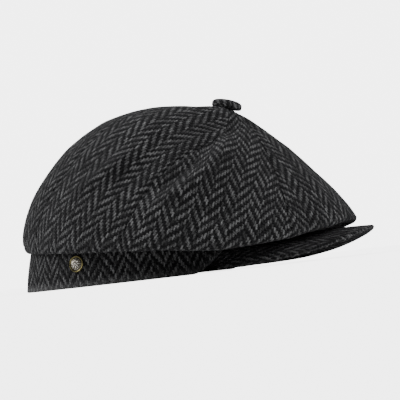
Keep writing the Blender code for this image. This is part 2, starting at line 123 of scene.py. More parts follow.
def cutFlat(piece, grain, slide):
    # opens a panel out flat as it was cut, in metres, with the warp along its middle line
    # or turned from it by grain
    mesh = piece.data
    corners = cornerVertices(mesh)
    drawn = np.zeros((len(mesh.vertices), 2))
    drawn[corners] = readVectors(mesh.uv_layers["cloth"].data, "uv", 2)
    low, high, beside = [np.argmin(np.abs(drawn - spot).sum(axis=1)) for spot in panelMarks]
    deselectAll()
    piece.select_set(True)
    bpy.context.view_layer.objects.active = piece
    bpy.ops.object.mode_set(mode="EDIT")
    bpy.ops.mesh.select_all(action="SELECT")
    bpy.ops.uv.unwrap(method="MINIMUM_STRETCH", margin=0.0)
    bpy.ops.object.mode_set(mode="OBJECT")
    flat = np.zeros((len(mesh.vertices), 2))
    flat[corners] = readVectors(mesh.uv_layers["cloth"].data, "uv", 2)
    spots = readVectors(mesh.vertices, "co", 3)
    ends = np.empty(2 * len(mesh.edges), np.int32)
    mesh.edges.foreach_get("vertices", ends)
    ends = ends.reshape(-1, 2)
    real = np.linalg.norm(spots[ends[:, 0]] - spots[ends[:, 1]], axis=1).sum()
    flat *= real / np.linalg.norm(flat[ends[:, 0]] - flat[ends[:, 1]], axis=1).sum()
    up = flat[high] - flat[low]
    up /= np.linalg.norm(up)
    side = np.array((up[1], -up[0]))
    if (flat[beside] - flat[low]) @ side < 0:
        side = -side
    flat = (flat - flat[low]) @ np.stack((side, up), axis=1)
    size = flat.max(axis=0) - flat.min(axis=0)
    quads = flat[corners].reshape(-1, 4, 2)
    ahead = np.roll(quads, -1, axis=1)
    crossed = quads[..., 0] * ahead[..., 1] - quads[..., 1] * ahead[..., 0]
    area = np.abs(crossed.sum(axis=1)).sum() / 2
    turn = math.radians(grain)
    turning = np.array(((math.cos(turn), math.sin(turn)), (-math.sin(turn), math.cos(turn))))
    turned = flat @ turning + slide
    mesh.uv_layers["cloth"].data.foreach_set("uv", turned[corners].ravel())
    return size, area


def joinEdges(piece, distance=1e-6):
    deselectAll()
    piece.select_set(True)
    bpy.context.view_layer.objects.active = piece
    bpy.ops.object.mode_set(mode="EDIT")
    bpy.ops.mesh.select_all(action="SELECT")
    bpy.ops.mesh.remove_doubles(threshold=distance)
    bpy.ops.object.mode_set(mode="OBJECT")


def giveWall(piece, thickness):
    deselectAll()
    piece.select_set(True)
    bpy.context.view_layer.objects.active = piece
    wall = piece.modifiers.new("wall", "SOLIDIFY")
    wall.thickness = thickness
    wall.offset = -1
    bpy.ops.object.modifier_apply(modifier=wall.name)


def finishPiece(piece, material, node, sharp=50):
    deselectAll()
    piece.select_set(True)
    bpy.context.view_layer.objects.active = piece
    bpy.ops.object.shade_smooth_by_angle(angle=math.radians(sharp))
    piece.data.materials.clear()
    piece.data.materials.append(material)
    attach(piece, "root")
    if node:
        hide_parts(node)


# node helpers

def newGroup(name, inputs, outputs):
    group = bpy.data.node_groups.new(name, "ShaderNodeTree")
    for label, kind, value in inputs:
        socket = group.interface.new_socket(name=label, in_out="INPUT", socket_type=kind)
        if value is not None:
            socket.default_value = value
    for label, kind in outputs:
        group.interface.new_socket(name=label, in_out="OUTPUT", socket_type=kind)
    return group, group.nodes.new("NodeGroupInput"), group.nodes.new("NodeGroupOutput")


def plug(tree, value, socket):
    if isinstance(value, (int, float, tuple)):
        socket.default_value = value
    else:
        tree.links.new(value, socket)


def calc(tree, operation, *values):
    node = tree.nodes.new("ShaderNodeMath")
    node.operation = operation
    for place, value in enumerate(values):
        plug(tree, value, node.inputs[place])
    return node.outputs[0]


def moveVector(tree, operation, vector, other):
    node = tree.nodes.new("ShaderNodeVectorMath")
    node.operation = operation
    plug(tree, vector, node.inputs[0])
    plug(tree, other, node.inputs["Scale" if operation == "SCALE" else 1])
    return node.outputs["Value" if operation == "LENGTH" else "Vector"]


def mixColour(tree, share, first, second, blend="MIX"):
    node = tree.nodes.new("ShaderNodeMix")
    node.data_type = "RGBA"
    node.blend_type = blend
    plug(tree, share, node.inputs["Factor"])
    plug(tree, first, node.inputs[6])
    plug(tree, second, node.inputs[7])
    return node.outputs[2]


def noiseAt(tree, vector, scale, detail=2.0, rough=0.5, output="Fac"):
    node = tree.nodes.new("ShaderNodeTexNoise")
    node.inputs["Scale"].default_value = scale
    node.inputs["Detail"].default_value = detail
    node.inputs["Roughness"].default_value = rough
    tree.links.new(vector, node.inputs["Vector"])
    return node.outputs[output]


def pairUp(tree, first, second):
    node = tree.nodes.new("ShaderNodeCombineXYZ")
    plug(tree, first, node.inputs[0])
    plug(tree, second, node.inputs[1])
    return node.outputs[0]


def takeApart(tree, vector):
    node = tree.nodes.new("ShaderNodeSeparateXYZ")
    tree.links.new(vector, node.inputs[0])
    return node.outputs[0], node.outputs[1]


def dice(tree, vector):
    # one random value for each whole-numbered place
    node = tree.nodes.new("ShaderNodeTexWhiteNoise")
    node.noise_dimensions = "2D"
    tree.links.new(vector, node.inputs["Vector"])
    return node.outputs["Value"]


def ranged(tree, value, low, high, toLow, toHigh):
    node = tree.nodes.new("ShaderNodeMapRange")
    plug(tree, value, node.inputs["Value"])
    ends = {"From Min": low, "From Max": high, "To Min": toLow, "To Max": toHigh}
    for label, number in ends.items():
        node.inputs[label].default_value = number
    return node.outputs["Result"]


tweedLook = {
    "warpPitch": 0.00163,   # from one light yarn to the next
    "weftPitch": 0.0022,
    "columnThreads": 6.0,   # then the slope turns
    "light": (0.108, 0.108, 0.110, 1.0),
    "dark": (0.0070, 0.0070, 0.0078, 1.0),
    "wander": 1.3,          # how far the yarns stray, in threads
    "ragged": 0.85,
    "speckle": 1.0,
    "roughness": 0.95,
    "gloss": 0.08,
    "sheen": 0.12,
    "sheenRoughness": 0.6,
    "sheenTint": (0.5, 0.5, 0.52, 1.0),
    "bump": 1.0,
    "bumpDepth": 0.0007,
}

# what makes the yarns uneven: how fine each kind of noise is, for each metre, and the range
# of lightness that it gives, and how much shade is painted where the yarns dip
yarnDetail = {
    "slowWander": 55.0,
    "quickWander": 620.0,
    "floatShades": (0.3, 1.6),
    "darkStreak": 0.3,
    "darkShades": (0.5, 1.7),
    "fibre": 1250.0,
    "fibreShades": (0.0, 2.05),
    "specks": 780.0,
    "patches": 42.0,
    "patchShades": (0.84, 1.16),
    # painted shade: the yarn's colour is scaled by this range from its lowest spot to its top,
    # standing in for the shadow between yarns
    "paintedGapShadeRange": (0.25, 1.15),
    "dip": 0.35,            # height of a float's ends, as a share of its middle
    "speckShare": 0.55,
    "rubShare": 0.45,
    "fibreHeight": 0.8,
}


def makeHerringboneGroup():
    # a 2/2 twill whose slope turns every few threads, with light warp and dark weft
    group, inside, outside = newGroup(
        "herringboneWeave",
        [("Cloth", "NodeSocketVector", None), ("Place", "NodeSocketVector", None),
         ("Warp Pitch", "NodeSocketFloat", 0.002), ("Weft Pitch", "NodeSocketFloat", 0.002),
         ("Column Threads", "NodeSocketFloat", 8.0), ("Wander", "NodeSocketFloat", 0.5),
         ("Ragged", "NodeSocketFloat", 0.3), ("Speckle", "NodeSocketFloat", 1.0),
         ("Light", "NodeSocketColor", (0.1, 0.1, 0.1, 1)),
         ("Dark", "NodeSocketColor", (0.01, 0.01, 0.01, 1)), ("Rub", "NodeSocketFloat", 0.0)],
        [("Color", "NodeSocketColor"), ("Height", "NodeSocketFloat")])
    take = inside.outputs
    sideways, lengthways = takeApart(group, take["Cloth"])
    slow = noiseAt(group, take["Place"], yarnDetail["slowWander"], 1.0, output="Color")
    quick = noiseAt(group, take["Place"], yarnDetail["quickWander"], 2.0, 0.6, "Color")
    slowX, slowY = takeApart(group, slow)
    quickX, quickY = takeApart(group, quick)

    def strayed(place, pitch, slowShift, quickShift):
        threads = calc(group, "DIVIDE", place, pitch)
        slowPart = calc(group, "MULTIPLY", calc(group, "SUBTRACT", slowShift, 0.5), take["Wander"])
        quickPart = calc(group, "MULTIPLY", calc(group, "SUBTRACT", quickShift, 0.5), take["Ragged"])
        return calc(group, "ADD", calc(group, "ADD", threads, slowPart), quickPart)

    across = strayed(sideways, take["Warp Pitch"], slowX, quickX)
    along = strayed(lengthways, take["Weft Pitch"], slowY, quickY)
    warp = calc(group, "FLOOR", across)
    weft = calc(group, "FLOOR", along)
    inWarp = calc(group, "SUBTRACT", across, warp)
    inWeft = calc(group, "SUBTRACT", along, weft)
    column = calc(group, "FLOOR", calc(group, "DIVIDE", warp, take["Column Threads"]))
    turned = calc(group, "FLOORED_MODULO", column, 2.0)
    step = calc(group, "SUBTRACT", warp, calc(group, "MULTIPLY", column, take["Column Threads"]))
    turnBack = calc(group, "SUBTRACT", calc(group, "ADD", take["Column Threads"], 1.0),
                    calc(group, "MULTIPLY", step, 2.0))
    onSlope = calc(group, "ADD", step, weft)
    diagonal = calc(group, "ADD", onSlope, calc(group, "MULTIPLY", turned, turnBack))
    phase = calc(group, "FLOORED_MODULO", diagonal, 4.0)
    light = calc(group, "LESS_THAN", phase, 1.5)
    dark = calc(group, "SUBTRACT", 1.0, light)
    # each yarn is round across and dips under at both ends of its float
    mirrored = calc(group, "SUBTRACT", 1.0, calc(group, "MULTIPLY", inWarp, 2.0))
    inWarpTurned = calc(group, "ADD", inWarp, calc(group, "MULTIPLY", turned, mirrored))

    def byYarn(overLight, overDark):
        onLight = calc(group, "MULTIPLY", light, overLight)
        onDark = calc(group, "MULTIPLY", dark, overDark)
        return calc(group, "ADD", onLight, onDark)

    alongFloat = byYarn(inWeft, inWarpTurned)
    acrossFloat = byYarn(inWarp, inWeft)
    started = calc(group, "SUBTRACT", phase, calc(group, "MULTIPLY", dark, 2.0))
    floatPart = calc(group, "ADD", started, alongFloat)
    arch = calc(group, "SINE", calc(group, "MULTIPLY", acrossFloat, math.pi))
    roundWay = calc(group, "POWER", arch, 0.5)
    longWay = calc(group, "SINE", calc(group, "MULTIPLY", floatPart, math.pi / 2))
    bulge = calc(group, "MULTIPLY", roundWay, ranged(group, longWay, 0.0, 1.0, yarnDetail["dip"], 1.0))
    # no two floats are equally light, and every yarn is spun from mixed fibres
    floatName = pairUp(group, warp, calc(group, "SUBTRACT", weft, phase))
    yarnLight = ranged(group, dice(group, floatName), 0.0, 1.0, *yarnDetail["floatShades"])
    stretched = calc(group, "MULTIPLY", across, yarnDetail["darkStreak"])
    streak = noiseAt(group, pairUp(group, stretched, weft), 1.0)
    yarnDark = ranged(group, streak, 0.25, 0.75, *yarnDetail["darkShades"])
    fibre = noiseAt(group, take["Place"], yarnDetail["fibre"], 3.0, 0.8)
    fibreShade = ranged(group, fibre, 0.34, 0.66, *yarnDetail["fibreShades"])
    bright = noiseAt(group, take["Place"], yarnDetail["specks"], 1.0, 0.5)
    bright = ranged(group, bright, 0.60, 0.78, 0.0, 1.0)
    patch = noiseAt(group, take["Place"], yarnDetail["patches"], 3.0, 0.6)
    patch = ranged(group, patch, 0.3, 0.7, *yarnDetail["patchShades"])
    # painted shade: the colour darkens where the yarn lies low, in the gaps between yarns and where it
    # dips under, standing in for the shadow there
    paintedGapShade = ranged(group, bulge, 0.0, 1.0, *yarnDetail["paintedGapShadeRange"])
    shade = calc(group, "MULTIPLY", byYarn(yarnLight, yarnDark), paintedGapShade)
    shade = calc(group, "MULTIPLY", calc(group, "MULTIPLY", shade, patch), fibreShade)
    plain = mixColour(group, light, take["Dark"], take["Light"])
    shaded = moveVector(group, "SCALE", plain, shade)
    speckled = calc(group, "MULTIPLY", bright, take["Speckle"])
    rubbed = calc(group, "MULTIPLY", take["Rub"], fibreShade)
    loose = calc(group, "ADD", calc(group, "MULTIPLY", speckled, yarnDetail["speckShare"]),
                 calc(group, "MULTIPLY", rubbed, yarnDetail["rubShare"]))
    specks = moveVector(group, "SCALE", take["Light"], loose)
    group.links.new(moveVector(group, "ADD", shaded, specks), outside.inputs["Color"])
    fuzz = calc(group, "MULTIPLY", fibre, yarnDetail["fibreHeight"])
    group.links.new(calc(group, "ADD", bulge, fuzz), outside.inputs["Height"])
    return group


def newMaterial(name):
    made = bpy.data.materials.new(name)
    made.use_nodes = True
    return made, made.node_tree, made.node_tree.nodes["Principled BSDF"]


def makeTweed(group):
    made, tree, shader = newMaterial("charcoalTweed")
    weave = tree.nodes.new("ShaderNodeGroup")
    weave.node_tree = group
    flat = tree.nodes.new("ShaderNodeUVMap")
    flat.uv_map = "cloth"
    place = tree.nodes.new("ShaderNodeTexCoord")
    rub = tree.nodes.new("ShaderNodeAttribute")
    rub.attribute_name = "rub"
    tree.links.new(flat.outputs["UV"], weave.inputs["Cloth"])
    tree.links.new(place.outputs["Object"], weave.inputs["Place"])
    tree.links.new(rub.outputs["Fac"], weave.inputs["Rub"])
    for label, key in (("Warp Pitch", "warpPitch"), ("Weft Pitch", "weftPitch"),
                       ("Column Threads", "columnThreads"), ("Wander", "wander"), ("Ragged", "ragged"),
                       ("Speckle", "speckle"), ("Light", "light"), ("Dark", "dark")):
        weave.inputs[label].default_value = tweedLook[key]
    bump = tree.nodes.new("ShaderNodeBump")
    bump.inputs["Strength"].default_value = tweedLook["bump"]
    bump.inputs["Distance"].default_value = tweedLook["bumpDepth"]
    tree.links.new(weave.outputs["Height"], bump.inputs["Height"])
    tree.links.new(bump.outputs["Normal"], shader.inputs["Normal"])
    tree.links.new(weave.outputs["Color"], shader.inputs["Base Color"])
    shader.inputs["Roughness"].default_value = tweedLook["roughness"]
    shader.inputs["Specular IOR Level"].default_value = tweedLook["gloss"]
    shader.inputs["Sheen Weight"].default_value = tweedLook["sheen"]
    shader.inputs["Sheen Roughness"].default_value = tweedLook["sheenRoughness"]
    shader.inputs["Sheen Tint"].default_value = tweedLook["sheenTint"]
    return made


satinLook = {
    "colour": (0.006, 0.006, 0.007, 1.0),
    "worn": (0.011, 0.011, 0.012, 1.0),
    "roughness": (0.42, 0.56),
    "clouds": 60.0,
    "threads": 900.0,
    "bump": 0.15,
    "bumpDepth": 0.0001,
    "sheen": 0.1,
}


def makeSatin():
    made, tree, shader = newMaterial("blackSatin")
    place = tree.nodes.new("ShaderNodeTexCoord")
    cloudy = noiseAt(tree, place.outputs["Object"], satinLook["clouds"], 3.0)
    tint = mixColour(tree, cloudy, satinLook["colour"], satinLook["worn"])
    tree.links.new(tint, shader.inputs["Base Color"])
    threads = tree.nodes.new("ShaderNodeTexWave")
    threads.inputs["Scale"].default_value = satinLook["threads"]
    threads.bands_direction = "Z"
    tree.links.new(place.outputs["Object"], threads.inputs["Vector"])
    rough = ranged(tree, cloudy, 0.3, 0.7, *satinLook["roughness"])
    tree.links.new(rough, shader.inputs["Roughness"])
    bump = tree.nodes.new("ShaderNodeBump")
    bump.inputs["Strength"].default_value = satinLook["bump"]
    bump.inputs["Distance"].default_value = satinLook["bumpDepth"]
    tree.links.new(threads.outputs["Fac"], bump.inputs["Height"])
    tree.links.new(bump.outputs["Normal"], shader.inputs["Normal"])
    shader.inputs["Sheen Weight"].default_value = satinLook["sheen"]
    return made


# the cap's own shape

bandSizes = {
    "halfLength": 0.103,
    "halfWidth": 0.086,
    "height": 0.034,
    "wall": 0.0028,
    "lean": 0.003,
    "backLean": 0.004,
    "backLeanStarts": 106.6,
    "frontRise": 0.006,
    "frontRiseStarts": 101.5,
    "rimLift": 0.019,
    "liftStarts": 56.0,
    "liftEnds": 33.0,
    "shiftY": 0.0436,       # the band's centre lies this far behind the origin
    "swell": 0.0006,        # the cloth stands out a little between hem and crown
    "ripple": (0.022, 0.0004),          # size of the ripples, and their height
    "hemRound": 0.0012,
    "hemRub": (1.6, 0.045),             # how worn the hem is, and how far up
    "flat": (0.589, 0.040),             # folded double, its lower edge cut away at the front
    "columns": 300,
    "rows": 60,
}


def oval(angle, halfWidth, halfLength):
    return np.stack((halfWidth * np.sin(angle), -halfLength * np.cos(angle), 0 * angle), axis=-1)


def rimHeight(angle):
    degrees = np.abs(np.degrees((angle + math.pi) % math.tau - math.pi))
    rise = (bandSizes["liftStarts"] - degrees) / (bandSizes["liftStarts"] - bandSizes["liftEnds"])
    return bandSizes["rimLift"] * smooth(rise)


def bandTop(angle):
    start = math.cos(math.radians(bandSizes["frontRiseStarts"]))
    return bandSizes["height"] + bandSizes["frontRise"] * smooth((np.cos(angle) - start) / (1 - start))


def bandFace(angle, heightShare, inset):
    start = math.cos(math.radians(bandSizes["backLeanStarts"]))
    back = smooth((start - np.cos(angle)) / (start + 1))
    lean = (bandSizes["lean"] + bandSizes["backLean"] * back) * heightShare
    point = oval(angle, bandSizes["halfWidth"] - lean - inset, bandSizes["halfLength"] - lean - inset)
    point[..., 2] = between(rimHeight(angle), bandTop(angle), heightShare)
    return point


peakSizes = {
    "reach": 0.0855,
    "show": 0.0115,
    "thickness": 0.0034,
    "halfSpread": 49.0,
    "flare": 36.0,
    "tipHeight": 0.021,
    "cornerHeight": 0.003,
    "camber": 0.0022,
    "cornerReach": 0.003,
    "span": 0.995,
    "fullness": 0.55,
    "rise": 2.2,
    "foot": 0.6,
    "settle": 3.0,
    "groove": 0.00035,      # where the top cloth meets the lower one, round the edge
    "grooveAt": 1.9,        # radians down round the edge from its top
    "lumps": (0.020, 0.00025),
    "edgeRub": 0.9,
    "undersideCut": (0.305, 0.5),       # where the lower cloth lies on the tweed
    "columns": 140,
    "rows": 96,
}

gap = 0.0004                # room that the solids keep from each other
peakTop = peakSizes["tipHeight"] + peakSizes["camber"] + peakSizes["thickness"] / 2 + gap

crownSizes = {
    "backOverhang": -0.0042,
    "sideOverhang": 0.028,
    "swellSkew": 1.2,
    "reliefFade": 0.16,
    "foldRound": 0.005,
    "foldDrop": 1.5,
    "foldDropShare": 0.75,
    "tuckLevel": 1.3,
    "tuckTight": 0.6,
    "tuckWide": 0.35,
    "room": 4.0,
    "puff": 0.0030,
    "puffEnds": 0.04,
    "puffFullness": 0.8,
    "buttonHeight": 0.131,
    "buttonSetback": 0.020,
    "buttonHole": 0.0042,
    "seamRound": 0.0011,    # the cloth rolls into a seam with this radius
    "seamShare": 0.16,      # share of the grid's columns in each rolled edge
    "underShare": 0.22,     # share of the grid's rows below the fold
    "cloth": 0.0012,
    "softCrease": (0.034, 0.0010),      # size of the lumps, and their height
    "fineCrease": (0.013, 0.00035),
    "gather": 0.00035,
    "gathers": 40,
    "gatherStarts": 0.006,  # from the button's foot
    "gatherEnds": 0.052,
    "foldRub": 0.2,
    "columns": 40,
    "rows": 150,
}

# from front to back: height of the lower fold as shares of the peak's top and of the band,
# and how full the section is
crownSections = [
    {"overPeak": 1.00, "overBand": 0.00, "roundness": 1.15, "swell": 0.000},
    {"overPeak": 0.90, "overBand": 0.00, "roundness": 1.18, "swell": 0.002},
    {"overPeak": 0.45, "overBand": 0.18, "roundness": 1.26, "swell": 0.006},
    {"overPeak": 0.10, "overBand": 0.36, "roundness": 1.35, "swell": 0.015},
    {"overPeak": 0.00, "overBand": 0.60, "roundness": 1.48, "swell": 0.030},
    {"overPeak": 0.00, "overBand": 0.75, "roundness": 1.65, "swell": 0.065},
    {"overPeak": 0.00, "overBand": 0.85, "roundness": 1.80, "swell": 0.100},
    {"overPeak": 0.00, "overBand": 0.97, "roundness": 1.90, "swell": 0.114},
    {"overPeak": 0.00, "overBand": 1.05, "roundness": 1.93, "swell": 0.118},
]

# degrees from the front, the same on both sides
seams = [
    {"atButton": 0.0, "atFold": 0.0},
    {"atButton": 38.0, "atFold": 45.0},
    {"atButton": 66.0, "atFold": 99.0},
    {"atButton": 128.0, "atFold": 139.0},
    {"atButton": 180.0, "atFold": 180.0},
]

# dents of the soft crown, and bulges where the depth is negative
crownRelief = [
    {"angle": -97.0, "spread": 27.0, "reach": 0.36, "length": 0.26, "depth": 0.110},
    {"angle": -112.0, "spread": 11.0, "reach": 0.52, "length": 0.20, "depth": 0.045},
    {"angle": -99.0, "spread": 6.5, "reach": 0.72, "length": 0.17, "depth": 0.022},
    {"angle": -87.0, "spread": 7.0, "reach": 0.74, "length": 0.17, "depth": -0.018},
    {"angle": -96.0, "spread": 12.0, "reach": 0.84, "length": 0.16, "depth": -0.035},
    {"angle": -137.0, "spread": 10.0, "reach": 0.62, "length": 0.24, "depth": -0.030},
    {"angle": -62.0, "spread": 17.0, "reach": 0.72, "length": 0.22, "depth": 0.016},
    {"angle": 98.0, "spread": 27.0, "reach": 0.38, "length": 0.26, "depth": 0.100},
    {"angle": 116.0, "spread": 12.0, "reach": 0.50, "length": 0.20, "depth": 0.035},
    {"angle": 97.0, "spread": 13.0, "reach": 0.84, "length": 0.16, "depth": -0.030},
    {"angle": 64.0, "spread": 17.0, "reach": 0.70, "length": 0.22, "depth": 0.016},
    {"angle": 160.0, "spread": 15.0, "reach": 0.70, "length": 0.20, "depth": 0.018},
]

# soft folds that the solids leave out. Each path runs by panels round the crown, and by the
# share of the way down from the button to the fold over the band
softFolds = [
    {"path": [(6.10, 0.25), (6.24, 0.38), (6.33, 0.49), (6.33, 0.59), (6.29, 0.65), (6.25, 0.69),
              (6.20, 0.73), (6.14, 0.77), (6.05, 0.82)],
     "width": 0.0062, "height": 0.0036},
    {"path": [(6.06, 0.34), (6.16, 0.47), (6.18, 0.58), (6.15, 0.63), (6.09, 0.70), (5.97, 0.74)],
     "width": 0.0068, "height": -0.0046},
    {"path": [(5.56, 0.48), (5.55, 0.57), (5.54, 0.62), (5.51, 0.66), (5.44, 0.70), (5.30, 0.73)],
     "width": 0.0070, "height": 0.0032},
    {"path": [(5.60, 0.40), (5.75, 0.55), (5.76, 0.65), (5.70, 0.73)],
     "width": 0.0130, "height": -0.0038},
    {"path": [(6.44, 0.74), (6.58, 0.83)], "width": 0.0140, "height": -0.0030},
    {"path": [(1.88, 0.28), (1.74, 0.44), (1.70, 0.58), (1.78, 0.70), (1.90, 0.80)],
     "width": 0.0070, "height": 0.0032},
    {"path": [(1.90, 0.40), (1.83, 0.55), (1.87, 0.66), (1.98, 0.74)],
     "width": 0.0070, "height": -0.0038},
    {"path": [(2.40, 0.50), (2.46, 0.62), (2.62, 0.74)], "width": 0.0080, "height": 0.0026},
    {"path": [(2.22, 0.45), (2.28, 0.62), (2.38, 0.74)], "width": 0.0120, "height": -0.0032},
    {"path": [(3.55, 0.55), (3.72, 0.72)], "width": 0.0090, "height": -0.0016},
    {"path": [(0.55, 0.45), (0.72, 0.68)], "width": 0.0100, "height": -0.0014},
]

# how each panel lies on the cloth: degrees from its middle line, and where the pattern starts
panelCuts = [
    {"grain": 0.0, "slide": 0.000, "rise": 0.000},
    {"grain": 0.0, "slide": 0.004, "rise": 0.003},
    {"grain": 0.0, "slide": 0.007, "rise": 0.001},
    {"grain": 0.0, "slide": 0.002, "rise": 0.005},
    {"grain": 0.0, "slide": 0.000, "rise": 0.002},
    {"grain": 0.0, "slide": 0.000, "rise": 0.004},
    {"grain": 0.0, "slide": 0.000, "rise": 0.000},
    {"grain": 0.0, "slide": 0.000, "rise": 0.006},
]

crownFront = bandSizes["halfLength"] + peakSizes["reach"] - peakSizes["show"]
crownBack = bandSizes["halfLength"] + crownSizes["backOverhang"]
buttonFoot = np.array(
    (0.0, crownSizes["buttonSetback"] - bandSizes["halfLength"], crownSizes["buttonHeight"]))


def sectionValue(column, angle):
    # a smooth curve through the rows of crownSections, which are evenly spaced from front to back
    values = np.array([row[column] for row in crownSections])
    last = len(values) - 1
    place = np.abs((np.degrees(angle) + 180) % 360 - 180) * last / 180
    row = np.minimum(place.astype(int), last - 1)
    part = place - row
    a = values[np.abs(row - 1)]
    b = values[row]
    c = values[row + 1]
    d = values[np.where(row + 2 <= last, row + 2, last - 1)]
    return b + part / 2 * (c - a + part * (2 * a - 5 * b + 4 * c - d + part * (3 * (b - c) + d - a)))


def seamTurn(number, column):
    # seam 0 is at the front, and the numbers run on past the back and up the other side
    near = [seam[column] for seam in seams]
    far = [360 - turn for turn in near[-2::-1]]
    stops = [-near[1]] + near + far + [360 + near[1]]
    return np.radians(np.interp(number, np.arange(-1, len(stops) - 1), stops))


def foldPoint(angle):
    halfWidth = bandSizes["halfWidth"] + crownSizes["sideOverhang"]
    point = oval(angle, halfWidth, (crownFront + crownBack) / 2)
    point[..., 1] += (crownBack - crownFront) / 2
    height = sectionValue("overPeak", angle) * peakTop
    height = height + sectionValue("overBand", angle) * bandSizes["height"]
    point[..., 2] = height + crownSizes["foldRound"]
    return point


def reliefDepth(angle, reach):
    depth = 0 * angle
    for dent in crownRelief:
        turn = np.degrees((angle - math.radians(dent["angle"]) + math.pi) % math.tau - math.pi)
        across = np.exp(-((turn / dent["spread"]) ** 2))
        along = np.exp(-(((reach - dent["reach"]) / dent["length"]) ** 2))
        depth = depth + dent["depth"] * crownSizes["buttonHeight"] * across * along
    fade = crownSizes["reliefFade"]
    return depth * smooth((1 - reach) / fade) * smooth(reach / (2 * fade))


def crownPlain(place, along):
    # along is 0 at the button hole, 1 at the fold and 2 where the cloth meets the band
    angle = seamTurn(place, "atFold")
    leave = seamTurn(place, "atButton")
    fold = foldPoint(angle)
    arm = fold[..., :2] - buttonFoot[:2]
    span = np.linalg.norm(arm, axis=-1)
    bend = np.stack((np.sin(leave), -np.cos(leave)), axis=-1) * span[..., None] / 2
    power = sectionValue("roundness", angle)
    start = np.arcsin((crownSizes["buttonHole"] / span) ** (power / 2))
    turn = between(start, math.pi / 2, np.minimum(along, 1.0))
    reach = np.sin(turn) ** (2 / power)
    rise = np.maximum(0.0, np.cos(turn)) ** (2 / power)
    swell = sectionValue("swell", angle) * crownSizes["buttonHeight"]
    height = between(fold[..., 2], crownSizes["buttonHeight"], rise)
    height = height + swell * np.sin(math.pi * reach ** crownSizes["swellSkew"])
    height = height - reliefDepth(angle, reach)
    flat = reach[..., None]
    plan = buttonFoot[:2] + bend * 2 * flat * (1 - flat) + arm * flat * flat
    above = np.concatenate((plan, height[..., None]), axis=-1)
    # under the fold, back in to the top of the band
    part = np.clip(along - 1, 0, 1)[..., None]
    foldRound = crownSizes["foldRound"]
    end = bandFace(angle, 1.0, bandSizes["wall"] / 2)
    room = smooth(np.linalg.norm((fold - end)[..., :2], axis=-1) / (crownSizes["room"] * foldRound))
    end[..., 2] += gap + bandSizes["wall"] / 2 * room
    drop = fold[..., 2] - end[..., 2]
    first = fold.copy()
    sink = crownSizes["foldDrop"] * foldRound * room
    first[..., 2] -= np.maximum(sink, drop * crownSizes["foldDropShare"])
    inWay = between(crownSizes["tuckTight"], crownSizes["tuckWide"], room)[..., None]
    second = fold + (end - fold) * inWay
    level = fold[..., 2] - crownSizes["tuckLevel"] * foldRound
    second[..., 2] = between(end[..., 2], level, room * room)
    rest = 1 - part
    under = fold * rest ** 3 + first * (3 * rest * rest * part)
    under = under + second * (3 * rest * part * part) + end * part ** 3
    return np.where((along > 1)[..., None], under, above)


def crownNormal(place, along):
    step = 0.004
    roundWay = crownPlain(place + step, along) - crownPlain(place - step, along)
    below, above = np.minimum(2.0, along + step), np.maximum(0.0, along - step)
    return unit(np.cross(crownPlain(place, below) - crownPlain(place, above), roundWay))


def crownPoint(place, along, normal):
    ends = crownSizes["puffEnds"]
    arch = np.sin(math.pi * between(ends, 1 - ends, np.minimum(1.0, along)))
    fade = np.where(along < 1, arch ** crownSizes["puffFullness"], 0.0)
    puff = crownSizes["puff"] * np.sin(math.pi * (place % 1.0)) * fade
    return crownPlain(place, along) + normal * puff[..., None]


def foldLine(path):
    place, along = np.array(path).T
    stops, fine = np.linspace(0, 1, len(path)), np.linspace(0, 1, 61)
    place, along = np.interp(fine, stops, place), np.interp(fine, stops, along)
    return crownPoint(place, along, crownNormal(place, along)), np.sin(math.pi * fine) ** 0.7


def foldLift(points):
    # how far the soft folds move the cloth out, each one fading towards its ends
    lift = np.zeros(points.shape[:-1])
    for fold in softFolds:
        line, strength = foldLine(fold["path"])
        away = np.linalg.norm(points[..., None, :] - line, axis=-1)
        nearest = away.argmin(axis=-1)
        lift += fold["height"] * strength[nearest] * np.exp(-(away.min(axis=-1) / fold["width"]) ** 2)
    return lift


def crownCreases(points, place, along):
    # soft lumps everywhere, and small gathers that run out from the button
    softSize, softHeight = crownSizes["softCrease"]
    fineSize, fineHeight = crownSizes["fineCrease"]
    soft = softNoise(points, softSize, 1) * softHeight
    fine = softNoise(points, fineSize, 2) * fineHeight
    away = np.linalg.norm(points - buttonFoot, axis=-1)
    nearButton = smooth((crownSizes["gatherEnds"] - away) / 0.03)
    nearButton = nearButton * smooth((away - crownSizes["gatherStarts"]) / 0.008)
    angle = seamTurn(place, "atButton")
    uneven = 3 * np.sin(angle * 7)
    gather = np.cos(angle * crownSizes["gathers"] + uneven) * crownSizes["gather"] * nearButton
    settled = smooth((2.0 - along) / 0.5) * smooth((away - 0.01) / 0.02)
    return (soft + fine + foldLift(points)) * settled + gather


def crownPanel(number):
    def shapeIt(across, up):
        under = crownSizes["underShare"]
        along = np.where(up < under, 2 - up / under, 1 - (up - under) / (1 - under))
        ends = crownPlain(number + 0 * along, along) - crownPlain(number + 1 + 0 * along, along)
        width = np.maximum(np.linalg.norm(ends, axis=-1), 0.002)
        # a rolled edge on both sides, and even columns between them
        edge = crownSizes["seamShare"]
        roll = np.minimum(crownSizes["seamRound"], width * 0.22)
        side = np.minimum(across, 1 - across)
        inEdge = np.clip(side / edge, 0, 1)
        turn = inEdge * math.pi / 2
        fromSeam = roll * (1 - np.cos(turn))
        middle = roll + (width / 2 - roll) * np.clip((side - edge) / (0.5 - edge), 0, 1)
        fromSeam = np.where(side < edge, fromSeam, middle) / width
        sunk = roll * (1 - np.sin(turn))
        share = np.where(across < 0.5, fromSeam, 1 - fromSeam)
        place = number + share
        normal = crownNormal(place, along)
        points = crownPoint(place, along, normal)
        lift = crownCreases(points, place, along) - sunk * np.where(along < 1.6, 1.0, 0.3)
        points = points + normal * lift[..., None]
        rub = crownSizes["foldRub"] * np.exp(-((along - 1.0) / 0.03) ** 2)
        return points, np.stack((across, up), axis=-1), rub
    return shapeIt


herringbone = makeHerringboneGroup()
tweed = makeTweed(herringbone)
satin = makeSatin()

